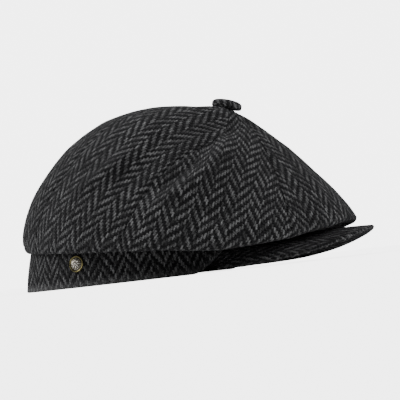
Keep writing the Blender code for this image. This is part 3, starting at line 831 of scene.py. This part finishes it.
for number, cut in enumerate(panelCuts):
    panel = makeSheet(f"crownPanel{number + 1}", crownSizes["columns"], crownSizes["rows"],
                      crownPanel(number))
    size, area = cutFlat(panel, cut["grain"], (cut["slide"], cut["rise"]))
    giveWall(panel, crownSizes["cloth"])
    finishPiece(panel, tweed, f"crown_panel_{number + 1}")
    size = [round(side, 3) for side in size]
    print("crown panel", number + 1, "cut flat:", size)


# band

def bandShape(across, up):
    # round the band with across; up the outer face, over, down the inner face and round the hem
    angle = across * math.tau
    wall = bandSizes["wall"]
    hem = bandSizes["hemRound"]
    tall = bandTop(angle) - rimHeight(angle)
    outer, top, inner = 0.50, 0.56, 0.90
    hemShare = hem / tall
    # outer face, top edge, inner face, then the folded hem
    height = np.select(
        [up < outer, up < top, up < inner],
        [between(hemShare, 1, up / outer), 1 + 0 * up,
         between(1, hemShare, (up - top) / (inner - top))],
        hemShare)
    turn = np.clip((up - inner) / (1 - inner), 0, 1) * math.pi
    inset = np.select(
        [up < outer, up < top, up < inner],
        [0 * up, wall * (up - outer) / (top - outer), wall + 0 * up],
        wall / 2 * (1 + np.cos(turn)))
    points = bandFace(angle, height, inset)
    points[..., 2] -= np.where(up > inner, hem * np.sin(turn), 0.0)
    out = unit(oval(angle, 1.0, 1.0))
    onFace = np.where(up < outer, np.sin(math.pi * np.clip(up / outer, 0, 1)), 0.0)
    rippleSize, rippleHeight = bandSizes["ripple"]
    wavy = softNoise(points, rippleSize, 5) * rippleHeight
    points = points + out * (onFace * (bandSizes["swell"] + wavy))[..., None]
    roundWay = running(points, 1)[len(points) // 4][None, :] + 0 * up
    upWay = running(points, 0)
    cloth = np.stack((roundWay, upWay), axis=-1)
    worn, wornWidth = bandSizes["hemRub"]
    rub = worn * np.exp(-(np.minimum(up, 1 - up) / wornWidth) ** 2)
    return points, cloth, rub


band = makeSheet("headBand", bandSizes["columns"], bandSizes["rows"], bandShape)
joinEdges(band)
bandArea = sum(face.area for face in band.data.polygons) / 2
finishPiece(band, tweed, "band")
bandArea = round(bandArea, 4)
print("band, flat area", bandArea)


# peak

def peakOutline(share):
    angle = math.radians(peakSizes["halfSpread"]) * share
    foot = oval(angle, bandSizes["halfWidth"], bandSizes["halfLength"])
    fullness = np.maximum(0.0, np.cos(math.pi / 2 * share))
    reach = between(peakSizes["cornerReach"], peakSizes["reach"], fullness ** peakSizes["fullness"])
    flare = math.radians(peakSizes["flare"]) * share
    height = between(peakSizes["cornerHeight"], peakSizes["tipHeight"], fullness ** peakSizes["rise"])
    sideways, ahead = foot[..., 0] + reach * np.sin(flare), foot[..., 1] - reach * np.cos(flare)
    return np.stack((sideways, ahead, height), axis=-1)


def peakSheet(share, across):
    angle = math.radians(peakSizes["halfSpread"]) * share
    foot = bandSizes["wall"] * peakSizes["foot"]
    inner = oval(angle, bandSizes["halfWidth"] - foot, bandSizes["halfLength"] - foot)
    inner[..., 2] = rimHeight(angle) - gap - peakSizes["thickness"] / 2
    point = inner + (peakOutline(share) - inner) * across[..., None]
    fullness = np.maximum(0.0, np.cos(math.pi / 2 * share))
    point[..., 2] += 4 * peakSizes["camber"] * across * (1 - across) * fullness
    return point


def peakShape(across, up):
    share = np.sin(math.pi / 2 * (2 * across - 1)) * peakSizes["span"]
    topEnds, edgeEnds = 0.44, 0.56
    width = np.select([up < topEnds, up < edgeEnds], [up / topEnds, 1 + 0 * up],
                      (1 - up) / (1 - edgeEnds))
    width = np.clip(width, 0, 1)
    turn = np.clip((up - topEnds) / (edgeEnds - topEnds), 0, 1) * math.pi
    step = 0.004
    widthWay = peakSheet(share + step, width) - peakSheet(share - step, width)
    outWay = peakSheet(share, width + step) - peakSheet(share, width - step)
    normal = unit(np.cross(outWay, widthWay))
    settle = smooth(width * peakSizes["settle"])[..., None]
    normal = unit(np.array((0.0, 0.0, 1.0)) * (1 - settle) + normal * settle)
    edge = peakSheet(share, 1 + 0 * width)
    outward = unit(edge - peakSheet(share, 1 - step + 0 * width))
    half = peakSizes["thickness"] / 2
    onEdge = (up > topEnds) & (up < edgeEnds)
    groove = peakSizes["groove"] * np.exp(-((turn - peakSizes["grooveAt"]) / 0.22) ** 2) * onEdge
    point = peakSheet(share, width)
    lumpSize, lumpHeight = peakSizes["lumps"]
    lumps = softNoise(point, lumpSize, 8) * lumpHeight * width
    point = point + normal * ((half + lumps - groove) * np.cos(turn))[..., None]
    point = point + outward * ((half - groove) * np.sin(turn))[..., None]
    # the cloth as cut: seen from above, and let out round the edge
    around = np.where(turn > math.pi / 2, math.pi - turn, turn) * half
    cloth = peakSheet(share, width)[..., :2] + outward[..., :2] * around[..., None]
    below = (turn > math.pi / 2)[..., None]
    cloth = cloth * (1, -1) + np.where(below, peakSizes["undersideCut"], (0.0, 0.0))
    nearEdge = (up > topEnds - 0.02) & (up < edgeEnds)
    rub = peakSizes["edgeRub"] * np.exp(-((turn - 1.55) / 0.35) ** 2) * nearEdge
    return point, cloth, rub


def closeEnds(piece):
    deselectAll()
    piece.select_set(True)
    bpy.context.view_layer.objects.active = piece
    bpy.ops.object.mode_set(mode="EDIT")
    bpy.ops.mesh.select_all(action="DESELECT")
    bpy.ops.mesh.select_mode(type="EDGE")
    bpy.ops.mesh.select_non_manifold()
    bpy.ops.mesh.fill_holes(sides=0)
    bpy.ops.mesh.select_all(action="SELECT")
    bpy.ops.mesh.normals_make_consistent(inside=False)
    bpy.ops.object.mode_set(mode="OBJECT")


peak = makeSheet("stiffPeak", peakSizes["columns"], peakSizes["rows"], peakShape)
joinEdges(peak)
closeEnds(peak)
finishPiece(peak, tweed, "peak")
print("peak")


# lining

liningSizes = {
    "wall": 0.0006,
    "setIn": 0.0002,
    "hem": 0.003,
    "drop": 0.012,
    "roundness": 2.3,
    "topShift": 0.45,
    "gathers": 12,
    "gatherDepth": 0.0012,
    "folds": 34,
    "foldDepth": 0.0009,
    "flat": (0.341, 0.336),             # the ways over its top, from hem to hem
    "columns": 360,
    "rows": 60,
}


def liningPoint(angle, along):
    gather = liningSizes["gatherDepth"] * (0.5 - 0.5 * np.cos(liningSizes["gathers"] * angle))
    inset = bandSizes["wall"] + gap
    hem = liningSizes["hem"] / (bandTop(angle) - rimHeight(angle))
    low = bandFace(angle, between(hem, 1, np.minimum(along, 1)), inset + gather * np.minimum(along, 1))
    foot = bandFace(angle, 1.0, inset + gather)
    top = np.array((0.0, buttonFoot[1] * liningSizes["topShift"], 0.0))
    turn = math.pi / 2 * np.clip(along - 1, 0, 1)
    reach = np.maximum(0.0, np.cos(turn)) ** (2 / liningSizes["roundness"])
    rise = np.sin(turn) ** (2 / liningSizes["roundness"])
    high = top + (foot - top) * reach[..., None]
    high[..., 2] = between(foot[..., 2], crownSizes["buttonHeight"] - liningSizes["drop"], rise)
    return np.where((along > 1)[..., None], high, low)


def liningShape(across, up):
    angle = across * math.tau
    along = 2 * up
    points = liningPoint(angle, along)
    inward = -unit(oval(angle, 1.0, 1.0))
    crease = np.abs(np.sin(angle * liningSizes["folds"] / 2 + 1.3 * np.sin(angle * 3)))
    deep = liningSizes["foldDepth"] * (1 - crease) ** 1.5
    deep = deep * smooth(along / 0.5) * smooth((2 - along) / 0.4)
    points = points + inward * (deep + liningSizes["setIn"])[..., None]
    cloth = np.stack((running(points, 1), running(points, 0)), axis=-1)
    return points, cloth, 0 * across


lining = makeSheet("satinLining", liningSizes["columns"], liningSizes["rows"], liningShape)
joinEdges(lining, 1e-5)
giveWall(lining, liningSizes["wall"])
finishPiece(lining, satin, "lining")


# covered button

buttonSizes = {
    "radius": 0.0126,
    "thickness": 0.0075,
    "standoff": 0.0010,
    "tilt": 17.0,
    "domeShare": 0.55,
    "neckRadius": 0.0040,
    "neckLength": 0.0050,
    "pleats": 22,
    "pleatDepth": 0.00035,
    "lumps": (0.006, 0.00025),
    "columns": 88,
    "rows": 64,
}


def buttonShape(across, up):
    angle = across * math.tau
    radius = buttonSizes["radius"]
    dome = buttonSizes["thickness"] * buttonSizes["domeShare"]
    rim = buttonSizes["thickness"] - dome
    # neck, underside, rim and dome, from the bottom up
    stops = np.array((0.0, 0.10, 0.14, 0.30, 0.40, 0.48, 0.56, 0.66, 0.78, 0.90, 1.0))
    neck, foot = buttonSizes["neckRadius"], -buttonSizes["neckLength"]
    low = -buttonSizes["standoff"]
    radii = np.array((0.0, neck, neck, radius * 0.50, radius * 0.92, radius * 0.98, radius,
                      radius * 0.96, radius * 0.79, radius * 0.42, 0.0))
    heights = np.array((foot, foot, low * 0.4, low * 0.1, rim * 0.05, rim * 0.42, rim,
                        rim + dome * 0.38, rim + dome * 0.74, rim + dome * 0.96, rim + dome))
    # the corners of that outline are rounded by a running mean
    fine = np.linspace(0, 1, 401)
    window = 21
    soft = np.ones(window) / window
    radii = np.pad(np.interp(fine, stops, radii), window // 2, "reflect", reflect_type="odd")
    heights = np.pad(np.interp(fine, stops, heights), window // 2, "edge")
    radii, heights = np.convolve(radii, soft, "valid"), np.convolve(heights, soft, "valid")
    r = np.maximum(0.0, np.interp(up, fine, radii))
    r[0] = 0.0
    r[-1] = 0.0
    z = np.interp(up, fine, heights)
    pleat = np.cos(angle * buttonSizes["pleats"]) * buttonSizes["pleatDepth"]
    pleat = pleat * smooth((0.56 - up) / 0.2) * smooth((up - 0.1) / 0.1)
    r = r + pleat * (r > 0)
    flat = np.stack((r * np.sin(angle), -r * np.cos(angle), z), axis=-1)
    tilt = np.array(Matrix.Rotation(math.radians(buttonSizes["tilt"]), 3, "X"))
    lift = np.array((0.0, 0.0, buttonSizes["standoff"]))
    points = flat @ tilt.T + buttonFoot + lift
    lumpSize, lumpHeight = buttonSizes["lumps"]
    points = points + unit(flat) * (softNoise(points, lumpSize, 11) * lumpHeight)[..., None]
    walked = running(points[::-1], 0)[::-1]
    cloth = np.stack((walked * np.sin(angle + 0.5) + 0.7, walked * np.cos(angle + 0.5)), axis=-1)
    return points, cloth, 0.25 * np.exp(-((up - 0.56) / 0.08) ** 2)


button = makeSheet("topButton", buttonSizes["columns"], buttonSizes["rows"], buttonShape)
joinEdges(button, 2e-5)
finishPiece(button, tweed, "top_button", 70)
print("button")


# badge

badgeSizes = {
    "radius": 0.0064,
    "angle": -107.0,
    "height": 0.0180,
    "silver": (0.60, 0.58, 0.53, 1.0),
    "dulled": (0.17, 0.155, 0.12, 1.0),
    "brass": (0.27, 0.23, 0.10, 1.0),
    "tarnish": (0.03, 0.028, 0.022, 1.0),
    "domeEnds": 0.0046,     # then a dark groove, and the brass rim outside it
    "rimStarts": 0.0054,
    # from the back to the middle of the dome: share of the radius, and how far it stands out
    "rings": [
        (0.92, 0.00000), (0.985, 0.00012), (1.00, 0.00045), (0.985, 0.00085), (0.95, 0.00108),
        (0.91, 0.00115), (0.86, 0.00106), (0.82, 0.00080), (0.77, 0.00076), (0.745, 0.00092),
        (0.70, 0.00108), (0.60, 0.00127), (0.45, 0.00144), (0.30, 0.00154), (0.14, 0.00160),
    ],
    "beads": {"count": 44, "ring": 0.00585, "out": 0.00112, "detail": 10,
              "size": (0.00023, 0.00023, 0.00020)},
    "petals": {"count": 8, "ring": 0.0024, "out": 0.00140, "detail": 16,
               "size": (0.00125, 0.00058, 0.00034)},
    "leaves": {"count": 16, "ring": 0.00405, "out": 0.00110, "detail": 10,
               "size": (0.00045, 0.00026, 0.00024)},
    "boss": {"count": 1, "ring": 0.0, "out": 0.00158, "detail": 20,
             "size": (0.00085, 0.00085, 0.00042)},
    "blotches": 420.0,
    "stains": 1100.0,
    "raggedness": 0.0009,   # how far the rim's colour strays over its edge
    "roughness": (0.24, 0.45),
}


def badgeSeat():
    angle = np.array(math.radians(badgeSizes["angle"]))
    share = (badgeSizes["height"] - rimHeight(angle)) / (bandTop(angle) - rimHeight(angle))
    step = 0.004
    seat = bandFace(angle, share, 0)
    roundWay = Vector(bandFace(angle + step, share, 0) - bandFace(angle - step, share, 0))
    upWay = Vector(bandFace(angle, share + step, 0) - bandFace(angle, share - step, 0))
    out = roundWay.cross(upWay).normalized()
    side = upWay.cross(out).normalized()
    turn = Matrix((side, out.cross(side), out)).transposed().to_4x4()
    spot = Vector(seat) + out * (gap + bandSizes["swell"]) + Vector((0, bandSizes["shiftY"], 0))
    return Matrix.Translation(spot) @ turn, spot


def makeDisc(rings):
    # a round plate, drawn out ring by ring from its back
    deselectAll()
    radius = badgeSizes["radius"]
    bpy.ops.mesh.primitive_circle_add(vertices=96, radius=radius * rings[0][0], fill_type="NGON")
    disc = bpy.context.object
    bpy.ops.object.mode_set(mode="EDIT")
    bpy.ops.mesh.select_all(action="SELECT")
    for (wide, out), (nextWide, nextOut) in zip(rings, rings[1:]):
        bpy.ops.mesh.extrude_region_move(TRANSFORM_OT_translate={"value": (0, 0, nextOut - out)})
        grow = nextWide / wide
        bpy.ops.transform.resize(value=(grow, grow, 1.0), center_override=(0, 0, 0))
    bpy.ops.mesh.inset(thickness=radius * rings[-1][0] / 2, depth=0.0)
    bpy.ops.mesh.select_all(action="SELECT")
    bpy.ops.mesh.normals_make_consistent(inside=False)
    bpy.ops.object.mode_set(mode="OBJECT")
    return disc


def makeStuds(look):
    # small round studs in a circle, with their long sides towards the middle
    studs = []
    for number in range(look["count"]):
        turn = math.tau * number / look["count"]
        spot = (look["ring"] * math.cos(turn), look["ring"] * math.sin(turn), look["out"])
        bpy.ops.mesh.primitive_uv_sphere_add(
            segments=look["detail"], ring_count=look["detail"] // 2, radius=1.0, location=spot,
            rotation=(0, 0, turn))
        stud = bpy.context.object
        stud.scale = look["size"]
        wear = stud.data.attributes.new("rub", "FLOAT", "POINT")
        wear.data.foreach_set("value", [1.0] * len(stud.data.vertices))
        studs.append(stud)
    return studs


def makeMetal(seat):
    made, tree, shader = newMaterial("wornBrass")
    place = tree.nodes.new("ShaderNodeTexCoord").outputs["Object"]
    fromSeat = moveVector(tree, "SUBTRACT", place, tuple(seat))
    fromMiddle = moveVector(tree, "LENGTH", fromSeat, (0.0, 0.0, 0.0))
    blotch = noiseAt(tree, place, badgeSizes["blotches"], 3.0, 0.6)
    ragged = calc(tree, "MULTIPLY", calc(tree, "SUBTRACT", blotch, 0.5), badgeSizes["raggedness"])
    inner, outer = badgeSizes["domeEnds"], badgeSizes["rimStarts"]
    onRim = ranged(tree, calc(tree, "ADD", fromMiddle, ragged), inner, outer, 0.0, 1.0)
    rubbed = tree.nodes.new("ShaderNodeAttribute")
    rubbed.attribute_name = "rub"
    dome = mixColour(tree, rubbed.outputs["Fac"], badgeSizes["dulled"], badgeSizes["silver"])
    colour = mixColour(tree, onRim, dome, badgeSizes["brass"])
    fromGroove = calc(tree, "ABSOLUTE", calc(tree, "SUBTRACT", fromMiddle, (inner + outer) / 2))
    groove = ranged(tree, fromGroove, 0.00012, 0.00045, 0.85, 0.0)
    stain = ranged(tree, noiseAt(tree, place, badgeSizes["stains"], 2.0, 0.6), 0.50, 0.72, 0.0, 0.8)
    colour = mixColour(tree, calc(tree, "MAXIMUM", groove, stain), colour, badgeSizes["tarnish"])
    tree.links.new(colour, shader.inputs["Base Color"])
    rough = ranged(tree, blotch, 0.35, 0.65, *badgeSizes["roughness"])
    tree.links.new(rough, shader.inputs["Roughness"])
    shader.inputs["Metallic"].default_value = 1.0
    return made


seatMatrix, seatSpot = badgeSeat()
badge = makeDisc(badgeSizes["rings"])
badge.name = "roundBadge"
badge.data.name = badge.name
studs = []
for kind in ("beads", "petals", "leaves", "boss"):
    studs += makeStuds(badgeSizes[kind])
deselectAll()
for stud in studs:
    stud.select_set(True)
badge.select_set(True)
bpy.context.view_layer.objects.active = badge
bpy.ops.object.join()
badge.data.transform(seatMatrix)
finishPiece(badge, makeMetal(seatSpot), "badge", 40)
print("badge")


# studio

studio = {
    "floor": 14.0,
    "floorColour": (0.92, 0.92, 0.92, 1.0),
    "bounceColour": (0.85, 0.85, 0.85, 1.0),    # what the floor gives back to the cap
    "backdrop": 5.0,        # how bright the room looks
    "floorGlow": 3.8,
    "fill": 0.05,           # how much light the room gives
    "lamps": [
        {"name": "overheadKey", "from": (0.3, 0.4, 1.0), "power": 1.2, "softness": 30.0},
        {"name": "backFlank", "from": (-0.25, 1.0, 0.45), "power": 1.9, "softness": 30.0},
        {"name": "frontFlank", "from": (-0.2, -1.0, 0.55), "power": 1.7, "softness": 30.0},
        {"name": "lowFace", "from": (-1.0, -0.25, 0.06), "power": 0.25, "softness": 12.0},
    ],
}


def cameraSees(tree, otherwise, seen):
    rays = tree.nodes.new("ShaderNodeLightPath").outputs["Is Camera Ray"]
    if isinstance(seen, tuple):
        return mixColour(tree, rays, otherwise, seen)
    return ranged(tree, rays, 0.0, 1.0, otherwise, seen)


deselectAll()
bpy.ops.mesh.primitive_plane_add(size=studio["floor"], location=(0, 0, 0))
floor = bpy.context.object
floor.name = "studioFloor"
floorPaint, floorTree, floorShader = newMaterial("paleFloor")
paint = cameraSees(floorTree, studio["bounceColour"], studio["floorColour"])
floorTree.links.new(paint, floorShader.inputs["Base Color"])
glow = cameraSees(floorTree, 0.0, studio["floorGlow"])
floorTree.links.new(glow, floorShader.inputs["Emission Strength"])
floorShader.inputs["Emission Color"].default_value = (1, 1, 1, 1)
floorShader.inputs["Roughness"].default_value = 1.0
floorShader.inputs["Specular IOR Level"].default_value = 0.0
floor.data.materials.append(floorPaint)

world = bpy.data.worlds.new("studioWorld")
bpy.context.scene.world = world
world.use_nodes = True
sky = world.node_tree.nodes["Background"]
sky.inputs["Color"].default_value = (1, 1, 1, 1)
roomLight = cameraSees(world.node_tree, studio["fill"], studio["backdrop"])
world.node_tree.links.new(roomLight, sky.inputs["Strength"])

for lamp in studio["lamps"]:
    light = bpy.data.lights.new(lamp["name"], "SUN")
    light.energy = lamp["power"]
    light.angle = math.radians(lamp["softness"])
    holder = bpy.data.objects.new(lamp["name"], light)
    holder.rotation_euler = (-Vector(lamp["from"])).to_track_quat("-Z", "Y").to_euler()
    bpy.context.scene.collection.objects.link(holder)


# camera, at the photograph's side of the cap but just above the floor

cameraSizes = {
    "turn": 17.3,           # degrees from the wearer's right towards the front
    "distance": 0.80,
    "height": 0.005,
    "roll": 6.6,
    "lens": 85.7,
    "aim": (0.0, -0.0084, 0.060),
}

turn = math.radians(cameraSizes["turn"])
rimCentre = Vector((0, bandSizes["shiftY"], 0))
lookFrom = rimCentre + Vector((-math.cos(turn), -math.sin(turn), 0)) * cameraSizes["distance"]
lookFrom.z = cameraSizes["height"]
aim = Vector(cameraSizes["aim"])
cameraData = bpy.data.cameras.new("camera")
cameraData.lens = cameraSizes["lens"]
cameraData.sensor_width = 36.0
cameraData.clip_start = 0.01
camera = bpy.data.objects.new("camera", cameraData)
facing = (aim - lookFrom).to_track_quat("-Z", "Y").to_matrix().to_4x4()
roll = Matrix.Rotation(math.radians(-cameraSizes["roll"]), 4, "Z")
camera.matrix_world = Matrix.Translation(lookFrom) @ facing @ roll
bpy.context.scene.collection.objects.link(camera)
bpy.context.scene.camera = camera
print("studio and camera")
